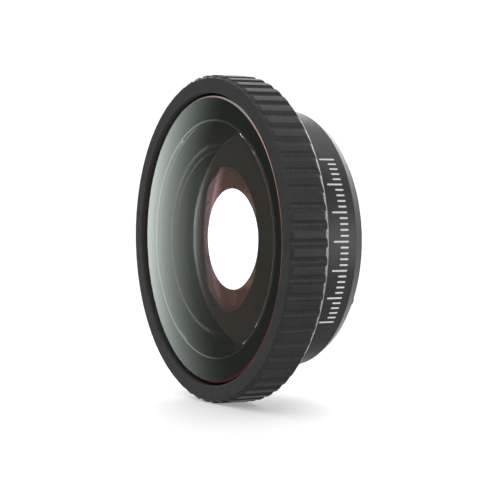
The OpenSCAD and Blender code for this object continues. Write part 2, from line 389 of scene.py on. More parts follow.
@dataclass(frozen=True)
class CoatedGlass:
    """Polished optical glass, whose coatings tint what it reflects, with a haze of wiping marks."""

    name: str
    index: float
    tint: Colour
    coat: float = 0.0
    coat_blur: float = 0.12
    coat_index: float = 1.8
    marks_per_mm: float = 0.8
    marks_stretch: Triple = (1.0, 1.0, 0.25)
    marks_edge: Span = (0.45, 0.8)
    haze: float = 0.002

    def material(self) -> bpy.types.Material:
        """Builds the material.

        Returns:
            The finished material.
        """
        net = ShaderNet(self.name)
        marks = net.noise(net.millimetres(self.marks_stretch), self.marks_per_mm, detail=4.0)
        return net.dress(
            Base_Color=WHITE,
            Transmission_Weight=1.0,
            IOR=self.index,
            Specular_Tint=self.tint,
            Roughness=net.ramp(marks, self.marks_edge, (0.0, self.haze)),
            Coat_Weight=self.coat,
            Coat_Roughness=self.coat_blur,
            Coat_IOR=self.coat_index,
        )


@dataclass(frozen=True)
class DullBlack:
    """Light-trapping black: paint, rubber or blackened metal, with a fine tooth."""

    name: str
    colour: Colour = (0.012, 0.011, 0.013)
    dusty: Colour = (0.02, 0.018, 0.021)
    roughness: float = 0.62
    smoothest: float = -0.06
    roughest: float = 0.08
    tooth_per_mm: float = 12.0
    tooth_depth: float = 0.008 * MM
    dust_per_mm: float = 0.6
    dust_edge: Span = (0.35, 0.7)

    def material(self) -> bpy.types.Material:
        """Builds the material.

        Returns:
            The finished material.
        """
        net = ShaderNet(self.name)
        place = net.millimetres()
        dust = net.ramp(net.noise(place, self.dust_per_mm), self.dust_edge, UNIT)
        gloss = (self.roughness + self.smoothest, self.roughness + self.roughest)
        return net.dress(
            Base_Color=net.blend(dust, self.colour, self.dusty),
            Roughness=net.ramp(dust, UNIT, gloss),
            Normal=net.bump(net.noise(place, self.tooth_per_mm), self.tooth_depth),
        )


@dataclass(frozen=True)
class Steel:
    """Turned or drawn steel, with fine marks round it or along it in the relief and the gloss."""

    name: str
    colour: Colour
    roughness: float
    stretch: Triple = (1.0, 12.0, 1.0)
    marks_per_mm: float = 3.0
    marks_depth: float = 0.003 * MM
    marks_roughness: float = 0.14
    marks_shade: float = 0.78

    def material(self) -> bpy.types.Material:
        """Builds the material.

        Returns:
            The finished material.
        """
        net = ShaderNet(self.name)
        marks = net.noise(net.millimetres(self.stretch), self.marks_per_mm, detail=4.0)
        darker = tuple(self.marks_shade * c for c in self.colour)
        gloss = (self.roughness, self.roughness + self.marks_roughness)
        return net.dress(
            Base_Color=net.blend(net.ramp(marks, MOST_NOISE, UNIT), self.colour, darker),
            Metallic=1.0,
            Roughness=net.ramp(marks, MOST_NOISE, gloss),
            Normal=net.bump(marks, self.marks_depth),
        )


@dataclass(frozen=True)
class Lacquer:
    """Enamel or ink laid on the metal: even colour with slight pooling and an orange-peel skin."""

    name: str
    colour: Colour
    pooled: Colour
    roughness: float
    coat: float = 0.0
    pools_per_mm: float = 2.2
    pool_edge: Span = (0.35, 0.65)
    pool_roughness: float = 0.12
    skin_per_mm: float = 5.0
    skin_depth: float = 0.004 * MM
    skin_strength: float = 0.6

    def material(self) -> bpy.types.Material:
        """Builds the material.

        Returns:
            The finished material.
        """
        net = ShaderNet(self.name)
        place = net.millimetres()
        pool = net.ramp(net.noise(place, self.pools_per_mm), self.pool_edge, UNIT)
        skin = net.noise(place, self.skin_per_mm, detail=2.0)
        return net.dress(
            Base_Color=net.blend(pool, self.colour, self.pooled),
            Roughness=net.ramp(pool, UNIT, (self.roughness, self.roughness + self.pool_roughness)),
            Coat_Weight=self.coat,
            Normal=net.bump(skin, self.skin_depth, self.skin_strength),
        )


@dataclass(frozen=True)
class GroundEdge:
    """The ground bevel round the front glass, with a painted rim glint: pale at the top, warm at the side
    and dark below, and a faint painted glow.

    The three heights are in millimetres from the lens axis.
    """

    name: str = "ground_glass_edge_painted_glint"
    pale: Colour = (0.9, 0.74, 0.7)
    warm: Colour = (0.75, 0.2, 0.09)
    dark: Colour = (0.16, 0.03, 0.025)
    top: float = 19.0
    middle: float = 3.0
    bottom: float = -9.0
    glow: float = 0.14
    frost_per_mm: float = 8.0
    frost_depth: float = 0.004 * MM
    gloss: Span = (0.25, 0.45)

    def material(self) -> bpy.types.Material:
        """Builds the material, with the painted glint coloured by height and a painted glow.

        Returns:
            The finished material.
        """
        net = ShaderNet(self.name)
        place = net.millimetres()
        height = net.parts(place)["Z"]
        # painted highlight and shade: the rim glint is pale at the top and darkens towards the bottom
        upper = net.blend(net.ramp(height, (self.middle, self.top), UNIT), self.warm, self.pale)
        painted_rim_glint = net.blend(net.ramp(height, (self.bottom, self.middle), UNIT), self.dark, upper)
        frost = net.noise(place, self.frost_per_mm, detail=2.0)
        return net.dress(
            Base_Color=painted_rim_glint,
            # painted glow: the bevel emits its own glint colour, though it is no lamp
            Emission_Color=painted_rim_glint,
            Emission_Strength=self.glow,
            Roughness=net.ramp(frost, MOST_NOISE, self.gloss),
            Normal=net.bump(frost, self.frost_depth),
        )


@dataclass(frozen=True)
class LitChamfer:
    """The fine ground chamfer of the bowl's edge, with a painted glow in place of the light that the glass
    pipes to it.

    The glow is full at the first of the two distances along X and gone at the second, in millimetres.
    """

    name: str = "bowl_chamfer"
    colour: Colour = (0.3, 0.38, 0.33)
    unlit: Colour = (0.05, 0.06, 0.055)
    glow: float = 1.0
    glow_ends: Span = (-12.0, 3.6)
    frost_per_mm: float = 4.0
    frost: Span = (0.8, 1.0)
    roughness: float = 0.6
    specular: float = 0.1

    def material(self) -> bpy.types.Material:
        """Builds the material.

        Returns:
            The finished material.
        """
        net = ShaderNet(self.name)
        place = net.millimetres()
        frost = net.ramp(net.noise(place, self.frost_per_mm, detail=2.0), MOST_NOISE, self.frost)
        # painted glow: emission bright on the -X side, fading out towards +X
        side = net.ramp(net.parts(place)["X"], self.glow_ends, (self.glow, 0.0))
        return net.dress(
            Base_Color=net.blend(frost, self.unlit, self.colour),
            Emission_Color=self.colour,
            Emission_Strength=net.maths("MULTIPLY", side, frost),
            Roughness=self.roughness,
            Specular_IOR_Level=self.specular,
        )


# ---------------------------------------------------------------------------------------------------
# Surfaces


def circle(count: int) -> np.ndarray:
    """Evenly spread angles round a full turn, the last one short of the first."""
    return np.arange(count) * (2 * math.pi / count)


def sag(curve: float, distance: np.ndarray | float) -> np.ndarray | float:
    """Drop of a sphere of radius curve at a distance from its axis: curve - sqrt(curve^2 - distance^2)."""
    return curve - np.sqrt(curve * curve - np.asarray(distance) ** 2)


def soft_minimum(plain: np.ndarray, cut: np.ndarray, width: float) -> np.ndarray:
    """The lower of two surfaces with a rounded edge where they meet.

    It is plain - width log(1 + exp(-gap)), where gap is (cut - plain) / width. Past the steepest gap
    the rounding is too small to matter, and the exponential would overflow.

    Args:
        plain: the first surface.
        cut: the second.
        width: how wide the rounding is.

    Returns:
        The lower surface.
    """
    steepest = 60.0
    gap = np.clip((cut - plain) / width, -steepest, steepest)
    return plain - width * np.log1p(np.exp(-gap))


def rounded(outline: list[Span], radius: float, steps: int = 4) -> np.ndarray:
    """Rounds every corner of a closed outline.

    Each corner C becomes the curve (1-s)^2 A + 2 s (1-s) C + s^2 B between the points A and B at the
    radius's distance before and after it, with one more point beyond each that keeps the flats flat.

    Args:
        outline: the corners, each a distance from the axis and a station.
        radius: distance from a corner to where its rounding starts, less on short sides.
        steps: segments of the rounding.

    Returns:
        The points of the rounded outline, in the same order.
    """
    side_share, beyond = 0.3, 1.5
    corner = np.array(outline, float)
    back = np.roll(corner, 1, axis=0) - corner
    ahead = np.roll(corner, -1, axis=0) - corner
    back_len = np.linalg.norm(back, axis=1, keepdims=True)
    ahead_len = np.linalg.norm(ahead, axis=1, keepdims=True)
    reach = np.minimum(radius, side_share * np.minimum(back_len, ahead_len))
    start = corner + back / back_len * reach
    end = corner + ahead / ahead_len * reach
    s = np.linspace(0, 1, steps + 1)[None, :, None]
    curve = (1 - s) ** 2 * start[:, None] + 2 * s * (1 - s) * corner[:, None] + s**2 * end[:, None]
    first = corner + back / back_len * reach * beyond
    last = corner + ahead / ahead_len * reach * beyond
    return np.concatenate([first[:, None], curve, last[:, None]], axis=1).reshape(-1, 2)


def flat_ring(inner: float, outer: float, back: float, front: float) -> list[Span]:
    """The outline of a flat ring: the corners of a rectangle beside the axis."""
    return [(inner, back), (outer, back), (outer, front), (inner, front)]


def laid_in_frame(radius: np.ndarray, station: np.ndarray, angle: np.ndarray) -> np.ndarray:
    """Puts points given by distance from the lens axis, station and angle into the frame.

    x = radius cos(angle), y = -station and z = radius sin(angle).

    Args:
        radius: distances from the axis.
        station: stations forward of the camera seat.
        angle: angles round the axis, on the grid that the other two spread over.

    Returns:
        The points, with x, y and z along the last axis.
    """
    return np.stack([radius * np.cos(angle), -station + 0 * angle, radius * np.sin(angle)], axis=-1)


def ring_faces(rows: int, columns: int, close_rows: bool) -> np.ndarray:
    """Quads of a grid that closes round its columns and, where asked, its rows too.

    Args:
        rows: points along the profile.
        columns: points round the axis.
        close_rows: True where the last row joins the first.

    Returns:
        An array of four indices a face.
    """
    i, j = np.meshgrid(np.arange(rows if close_rows else rows - 1), np.arange(columns), indexing="ij")
    below = (i + 1) % rows
    beside = (j + 1) % columns
    quads = [i * columns + j, i * columns + beside, below * columns + beside, below * columns + j]
    return np.stack(quads, axis=-1).reshape(-1, 4)


def pole_faces(rows: int, columns: int) -> np.ndarray:
    """Triangles that close both ends of a grid, whose two poles come after its other points.

    Args:
        rows: points along the profile, without the poles.
        columns: points round the axis.

    Returns:
        An array of three indices a face, the first pole's fan before the last one's.
    """
    j = np.arange(columns)
    beside = (j + 1) % columns
    last_row = (rows - 1) * columns
    pole = rows * columns
    first_fan = np.stack([np.full(columns, pole), beside, j], axis=-1)
    last_fan = np.stack([np.full(columns, pole + 1), last_row + j, last_row + beside], axis=-1)
    return np.concatenate([first_fan, last_fan])


def outward(points: np.ndarray, faces: list[np.ndarray]) -> list[np.ndarray]:
    """Turns all faces over where the solid they close has a negative volume.

    The volume is a sixth of the sum of a . (b x c) over the triangles that fan out each face.

    Args:
        points: the points.
        faces: blocks of faces with the same number of corners.

    Returns:
        The same blocks, each face in its right direction.
    """
    volume = 0.0
    for block in faces:
        for k in range(1, block.shape[1] - 1):
            a, b, c = points[block[:, 0]], points[block[:, k]], points[block[:, k + 1]]
            volume += float(np.einsum("ij,ij->", a, np.cross(b, c)))
    return faces if volume > 0 else [block[:, ::-1] for block in faces]


@dataclass
class Shell:
    """A closed mesh before it becomes an object: points, blocks of like faces, marks and finishes."""

    points: np.ndarray
    faces: list[np.ndarray]
    marks: dict[str, np.ndarray] = field(default_factory=dict)
    finish_of_face: np.ndarray | None = None

    @classmethod
    def turned(
        cls, profile: np.ndarray, columns: int = 256, marks: dict[str, np.ndarray] | None = None
    ) -> "Shell":
        """Turns a closed profile round the lens axis.

        Args:
            profile: distance from the axis and station of each point.
            columns: points round the axis.
            marks: for each attribute's name, its value at each point of the profile.

        Returns:
            The ring-shaped shell.
        """
        points = laid_in_frame(profile[:, :1], profile[:, 1:], circle(columns)[None, :])
        spread = {name: np.repeat(value, columns) for name, value in (marks or {}).items()}
        return cls(points.reshape(-1, 3), [ring_faces(len(profile), columns, True)], spread)

    @classmethod
    def domed(
        cls, profile: np.ndarray, columns: int = 256, finishes: np.ndarray | None = None
    ) -> "Shell":
        """Turns a profile that starts and ends on the axis, with one point at each pole.

        Args:
            profile: distance from the axis and station of each point, where the first and last are 0 away.
            columns: points round the axis.
            finishes: for each stretch between two points of the profile, the number of its finish.

        Returns:
            The closed shell.
        """
        body = profile[1:-1]
        wall = laid_in_frame(body[:, :1], body[:, 1:], circle(columns)[None, :]).reshape(-1, 3)
        poles = np.array([[0.0, -profile[0, 1], 0.0], [0.0, -profile[-1, 1], 0.0]])
        faces = [ring_faces(len(body), columns, False), pole_faces(len(body), columns)]
        made = cls(np.concatenate([wall, poles]), faces)
        if finishes is not None:
            walls, ends = finishes[1:-1], finishes[[0, -1]]
            made.finish_of_face = np.repeat(np.concatenate([walls, ends]), columns)
        return made

    @classmethod
    def swept(
        cls, path: np.ndarray, across: np.ndarray, up: np.ndarray, radius: float, sides: int = 12
    ) -> "Shell":
        """Carries a circle along a path, and closes both ends with a small dome.

        Args:
            path: the points of the path.
            across: at each point, the direction of the circle's first axis.
            up: at each point, the direction of its second axis.
            radius: the circle's radius.
            sides: points round it.

        Returns:
            The closed shell.
        """
        end_share = 0.6
        angle = circle(sides)[None, :, None]
        width = np.full(len(path), radius)
        width[[0, -1]] *= end_share
        rim = width[:, None, None]
        points = path[:, None] + rim * (np.cos(angle) * across[:, None] + np.sin(angle) * up[:, None])
        tips = np.stack([path[0], path[-1]])
        faces = [ring_faces(len(path), sides, False), pole_faces(len(path), sides)]
        return cls(np.concatenate([points.reshape(-1, 3), tips]), faces)

    @classmethod
    def of_node(cls, name: str) -> "Shell":
        """A copy of a frame node's mesh with its loose triangles merged at their shared corners.

        Args:
            name: the node's name.

        Returns:
            The merged shell.
        """
        same_place = 8  # decimals of a metre
        source = bpy.data.objects[name].data
        points = np.zeros(len(source.vertices) * 3)
        source.vertices.foreach_get("co", points)
        corners = np.zeros(len(source.loops), np.int32)
        source.loops.foreach_get("vertex_index", corners)
        snapped = np.round(points.reshape(-1, 3), same_place)
        unique, index = np.unique(snapped, axis=0, return_inverse=True)
        triangles = index.reshape(-1)[corners].reshape(-1, 3)
        a, b, c = triangles.T
        real = (a != b) & (b != c) & (a != c)
        return cls(unique, [triangles[real]])

    def moved(self, offset: Vector) -> "Shell":
        """The same shell, shifted."""
        return Shell(self.points + np.array(offset), self.faces, self.marks, self.finish_of_face)


@dataclass(frozen=True)
class Piece:
    """How a shell joins the model: its name, what carries it, what it stands for and its finishes."""

    name: str
    slot: Slot
    nodes: tuple[str, ...]
    finishes: tuple[bpy.types.Material, ...]
    body: Body = Body.LENS
    crease: float = math.radians(32)

    def publish(self, shell: Shell, ride: bool = True) -> bpy.types.Object:
        """Makes the object, links it into the scene and, where asked, attaches it to its body.

        Args:
            shell: the closed mesh.
            ride: False for a piece that is left off the bodies.

        Returns:
            The finished object.
        """
        faces = outward(shell.points, shell.faces)
        mesh = bpy.data.meshes.new(self.name)
        listed = [face for block in faces for face in block.tolist()]
        mesh.from_pydata(shell.points, [], listed)
        for name, values in shell.marks.items():
            mark = mesh.attributes.new(name, "FLOAT", "POINT")
            mark.data.foreach_set("value", values.astype(np.float32))
        for material in self.finishes:
            mesh.materials.append(material)
        if shell.finish_of_face is not None:
            mesh.polygons.foreach_set("material_index", shell.finish_of_face.astype(np.int32))
        mesh.shade_smooth()
        mesh.set_sharp_from_angle(angle=self.crease)
        mesh.update()
        made = bpy.data.objects.new(self.name, mesh)
        bpy.context.scene.collection.objects.link(made)
        if ride:
            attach(made, self.body.value)
        if self.nodes:
            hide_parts(*self.nodes)
        stands_for = ", ".join(self.nodes) or "itself"
        log.info("%s: %d faces, stands for %s", self.name, len(mesh.polygons), stands_for)
        return made


# ---------------------------------------------------------------------------------------------------
# The lens


@dataclass(frozen=True)
class Extent:
    """A node's greatest distance from the lens axis, and its rear and front stations."""

    radius: float
    back: float
    front: float

    @classmethod
    def of(cls, node: str) -> "Extent":
        """Measures a node of the frame that lies round the lens axis.

        Args:
            node: the node's name.

        Returns:
            Its extent.
        """
        low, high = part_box(node)
        return cls(float(high.x), -float(high.y), -float(low.y))


@dataclass
class GripRing:
    """Knurled ring: grooves cut by a round-nosed tool, which run out on the chamfers at both ends."""

    metal: bpy.types.Material
    ribs: int = 60
    groove_depth: float = 0.42 * MM
    groove_width: float = 1.3 * MM
    front_chamfer: float = 0.45 * MM
    rear_chamfer: float = 0.8 * MM
    edge_round: float = 0.035 * MM
    pocket_round: float = 0.03 * MM
    bore_past_baffle: float = 0.74 * MM
    least_groove: float = math.radians(0.12)
    wall_painted_light: float = 0.16
    chamfer_rows: int = 11
    groove_columns: int = 13
    side_shares: tuple[float, ...] = (0.04, 0.5, 0.96)
    land_shares: tuple[float, ...] = (0.03, 0.1, 0.3, 0.5, 0.7, 0.9, 0.97)

    def __post_init__(self) -> None:
        """Reads the ring and its neighbours from the frame."""
        self.size = Extent.of("grip_ring")
        self.pocket = Extent.of("edge_seal")
        self.bore = Extent.of("inner_baffle").radius + self.bore_past_baffle

    @property
    def pitch(self) -> float:
        """Angle from one rib to the next."""
        return 2 * math.pi / self.ribs

    def outer_profile(self) -> tuple[np.ndarray, np.ndarray]:
        """Straight chamfers at both ends and a straight side between them.

        Returns:
            Distance from the axis and station of each point, from the rear face to the front.
        """
        full, back, front = self.size.radius, self.size.back, self.size.front
        step = np.linspace(0.0, 1.0, self.chamfer_rows)
        rear_r = full - self.rear_chamfer * (1 - step)
        rear_s = back + self.rear_chamfer * step
        front_r = full - self.front_chamfer * step
        front_s = front - self.front_chamfer * (1 - step)
        side_s = rear_s[-1] + (front_s[0] - rear_s[-1]) * np.array(self.side_shares)
        return (
            np.concatenate([rear_r, np.full(len(side_s), full), front_r]),
            np.concatenate([rear_s, side_s, front_s]),
        )

    def inner_profile(self) -> np.ndarray:
        """The front face, the pocket's wall and floor, the bore on the neck and the rear face.

        Returns:
            Distance from the axis and station of each point, from the front face to the rear.
        """
        size, soft = self.size, self.pocket_round
        front_r = size.radius - self.front_chamfer
        rear_r = size.radius - self.rear_chamfer
        wall, floor = self.pocket.radius, self.pocket.back
        return np.array(
            [
                [front_r - soft, size.front],
                [wall + 6 * soft, size.front],
                [wall + 3 * soft, size.front],
                [wall + soft, size.front - soft],
                [wall, size.front - 3 * soft],
                [wall, size.front - 6 * soft],
                [wall, floor],
                [self.bore, floor],
                [self.bore, size.back],
                [rear_r - soft, size.back],
            ]
        )

    def one_groove(self, plain: np.ndarray) -> tuple[np.ndarray, np.ndarray]:
        """The columns of the grid over one groove and the land beside it.

        A groove is the path of a circle of radius t whose centre lies c from the axis. Along a ray at
        the angle a from the groove's middle it cuts to c cos(a) - sqrt(t^2 - c^2 sin(a)^2). The columns
        gather at the angle where that meets the plain profile, so that a groove narrows to a point on
        each chamfer.

        Args:
            plain: the plain profile's distances from the axis.

        Returns:
            For each point of the profile and each column, the angle and the distance the tool cuts to.
        """
        half, depth, full = self.groove_width / 2, self.groove_depth, self.size.radius
        tool = (half * half + depth * depth) / (2 * depth)
        centre = full - depth + tool
        uncut = 1.2 * full
        meeting = (plain**2 + centre**2 - tool**2) / (2 * plain * centre)
        edge = np.maximum(np.arccos(np.clip(meeting, -1, 1)), self.least_groove)[:, None]
        across = np.sin(np.linspace(-0.5, 0.5, self.groove_columns) * math.pi)
        land = edge + np.array(self.land_shares) * (self.pitch - 2 * edge)
        angle = np.concatenate([across * edge, land], axis=1)
        side = centre * np.sin(np.minimum(np.abs(angle), self.pitch - np.abs(angle)))
        cut = centre * np.cos(angle) - np.sqrt(np.maximum(tool**2 - side**2, 0.0))
        return angle, np.where(side < tool, cut, uncut)

    def build(self) -> Shell:
        """The knurled outside, the soft minimum of the plain profile and the cut, and the inside.

        Returns:
            The ring, with its bright-cut places, the painted light on its pocket wall and the depths of its
            grooves marked.
        """
        plain, station = self.outer_profile()
        one, cut = self.one_groove(plain)
        one_radius = soft_minimum(plain[:, None], cut, self.edge_round)
        start = np.arange(self.ribs) * self.pitch
        angle = (start[None, :, None] + one[:, None, :]).reshape(len(plain), -1)
        radius = np.tile(one_radius, (1, self.ribs))
        inner = self.inner_profile()
        level = np.broadcast_to(angle[len(plain) // 2], (len(inner), angle.shape[1]))
        outside = laid_in_frame(radius, station[:, None], angle)
        inside = laid_in_frame(inner[:, :1], inner[:, 1:], level)
        on_chamfer = (np.arange(len(plain)) < self.chamfer_rows)[:, None] & (cut > plain[:, None])
        # painted light: the pocket wall takes a share of bright metal to lift it out of its shade
        on_wall = np.isclose(inner[:, 0], self.pocket.radius)[:, None]
        sunk = np.clip((plain[:, None] - one_radius) / self.groove_depth, 0, 1)
        still = np.zeros(level.shape)
        bright = [np.tile(on_chamfer.astype(float), (1, self.ribs)), still + on_wall * self.wall_painted_light]
        groove = [np.tile(sunk, (1, self.ribs)), still]
        marks = {
            "bright": np.concatenate(bright).reshape(-1),
            "groove": np.concatenate(groove).reshape(-1),
        }
        rows, columns = len(plain) + len(inner), angle.shape[1]
        points = np.concatenate([outside, inside]).reshape(-1, 3)
        return Shell(points, [ring_faces(rows, columns, True)], marks)

    def make(self) -> None:
        """Builds and dresses the ring."""
        piece = Piece("knurled_ring", Slot.RING, ("grip_ring",), (self.metal,), crease=math.radians(40))
        piece.publish(self.build())


@dataclass
class FrontGlass:
    """Outer meniscus with its sealing bead and gasket."""

    glass: bpy.types.Material
    paint: bpy.types.Material
    ground: bpy.types.Material
    chamfer: bpy.types.Material
    rubber: bpy.types.Material
    outer_curve: float = 110 * MM
    ground_ring: float = 3.9 * MM
    centre_thickness: float = 1.4 * MM
    bevel: float = 0.2 * MM
    bowl_chamfer: float = 0.26 * MM
    bead_dip: float = 0.12 * MM
    bead_round: float = 0.1 * MM
    gasket_inset: float = 0.1 * MM
    gasket_round: float = 0.05 * MM
    rows: int = 90
    columns: int = 320
    rubber_columns: int = 200

    def __post_init__(self) -> None:
        """Reads the glass from the frame, and works out how wide its hollow is."""
        self.size = Extent.of("front_element")
        self.hollow = self.size.radius - self.ground_ring

    def meniscus(self) -> Shell:
        """A shallow sphere in front, a bevel and a painted edge, a fine chamfer and a steep bowl.

        The bowl is the sphere through its rim and its pole, of radius (rim^2 + depth^2) / (2 depth).

        Returns:
            The glass, with the finish of each face.
        """
        size, hollow = self.size, self.hollow
        front_r = np.linspace(0.0, size.radius - self.bevel, self.rows)
        front = np.stack([front_r, size.front - sag(self.outer_curve, front_r)], axis=1)
        shoulder = size.front - float(sag(self.outer_curve, size.radius)) - self.bevel
        pole = size.front - self.centre_thickness
        depth = pole - size.back
        bowl_curve = (hollow**2 + depth**2) / (2 * depth)
        back_r = np.linspace(hollow, 0.0, self.rows)
        back = np.stack([back_r, pole - sag(bowl_curve, back_r)], axis=1)
        back[0, 1] += self.bowl_chamfer
        ground_r = hollow + self.bowl_chamfer
        edge = [[size.radius, shoulder], [size.radius, size.back], [ground_r, size.back]]
        points = np.concatenate([front, edge, back])
        finishes = np.full(len(points) - 1, Face.POLISHED)
        bevel = self.rows - 1
        finishes[bevel : bevel + 4] = (Face.BEVEL, Face.PAINTED, Face.PAINTED, Face.CHAMFER)
        return Shell.domed(points, self.columns, finishes)

    def bead(self) -> Shell:
        """A ring of sealant between glass and pocket, with a low ridge along its middle.

        Returns:
            The bead.
        """
        bead = Extent.of("edge_seal")
        inner, outer = self.size.radius + FIT, bead.radius - FIT
        ridge = ((self.size.radius + bead.radius) / 2, bead.front - self.bead_dip)
        outline = flat_ring(inner, outer, bead.back, bead.front)
        outline.insert(3, ridge)
        return Shell.turned(rounded(outline, self.bead_round), self.rubber_columns)

    def gasket(self) -> Shell:
        """A thin flat ring with rounded edges.

        Returns:
            The gasket.
        """
        washer = Extent.of("front_gasket")
        inner = self.hollow + self.gasket_inset
        outline = flat_ring(inner, washer.radius, washer.back, washer.front - FIT)
        return Shell.turned(rounded(outline, self.gasket_round), self.rubber_columns)

    def make(self) -> None:
        """Builds the glass, the bead round it and the gasket under it."""
        finishes = (self.glass, self.paint, self.ground, self.chamfer)
        glass = Piece("front_meniscus", Slot.FRONT_GLASS, ("front_element",), finishes)
        glass.publish(self.meniscus())
        Piece("sealing_bead", Slot.RUBBER, ("edge_seal",), (self.rubber,)).publish(self.bead())
        Piece("glass_gasket", Slot.RUBBER, ("front_gasket",), (self.rubber,)).publish(self.gasket())


@dataclass
class InnerLenses:
    """Middle and rear elements, each with a ground and blackened edge."""

    middle_glass: bpy.types.Material
    rear_glass: bpy.types.Material
    paint: bpy.types.Material
    middle_front_curve: float = 75 * MM
    middle_rear_curve: float = 100 * MM
    rear_front_curve: float = 70 * MM
    rear_rear_curve: float = 170 * MM
    middle_rows: int = 70
    rear_rows: int = 60

    def middle(self) -> Shell:
        """Bulging front, painted edge and flat seat, hollow back.

        Returns:
            The middle element, with the finish of each face.
        """
        size = Extent.of("middle_element")
        clear = size.radius - 2 * LENS_SEAT
        front_r = np.linspace(0.0, size.radius, self.middle_rows)
        front = np.stack([front_r, size.front - sag(self.middle_front_curve, front_r)], axis=1)
        back_r = np.linspace(clear, 0.0, self.middle_rows)
        vertex = size.back + float(sag(self.middle_rear_curve, clear))
        back = np.stack([back_r, vertex - sag(self.middle_rear_curve, back_r)], axis=1)
        points = np.concatenate([front, [[size.radius, size.back]], back])
        finishes = np.full(len(points) - 1, Face.POLISHED)
        finishes[self.middle_rows - 1 : self.middle_rows + 1] = Face.PAINTED
        return Shell.domed(points, finishes=finishes)

    def rear(self) -> Shell:
        """Bulging on both faces, with a flat seat round each.

        Returns:
            The rear element, with the finish of each face.
        """
        size = Extent.of("rear_element")
        clear = size.radius - LENS_SEAT
        front_r = np.linspace(0.0, clear, self.rear_rows)
        back_r = front_r[::-1]
        front = np.stack([front_r, size.front - sag(self.rear_front_curve, front_r)], axis=1)
        back = np.stack([back_r, size.back + sag(self.rear_rear_curve, back_r)], axis=1)
        rim = [[size.radius, front[-1, 1]], [size.radius, back[0, 1]]]
        points = np.concatenate([front, rim, back])
        finishes = np.full(len(points) - 1, Face.POLISHED)
        finishes[self.rear_rows - 1 : self.rear_rows + 2] = Face.PAINTED
        return Shell.domed(points, finishes=finishes)

    def make(self) -> None:
        """Builds both elements."""
        middle = (self.middle_glass, self.paint)
        Piece("middle_lens", Slot.MIDDLE_GLASS, ("middle_element",), middle).publish(self.middle())
        rear = (self.rear_glass, self.paint)
        Piece("rear_lens", Slot.REAR_GLASS, ("rear_element",), rear).publish(self.rear())


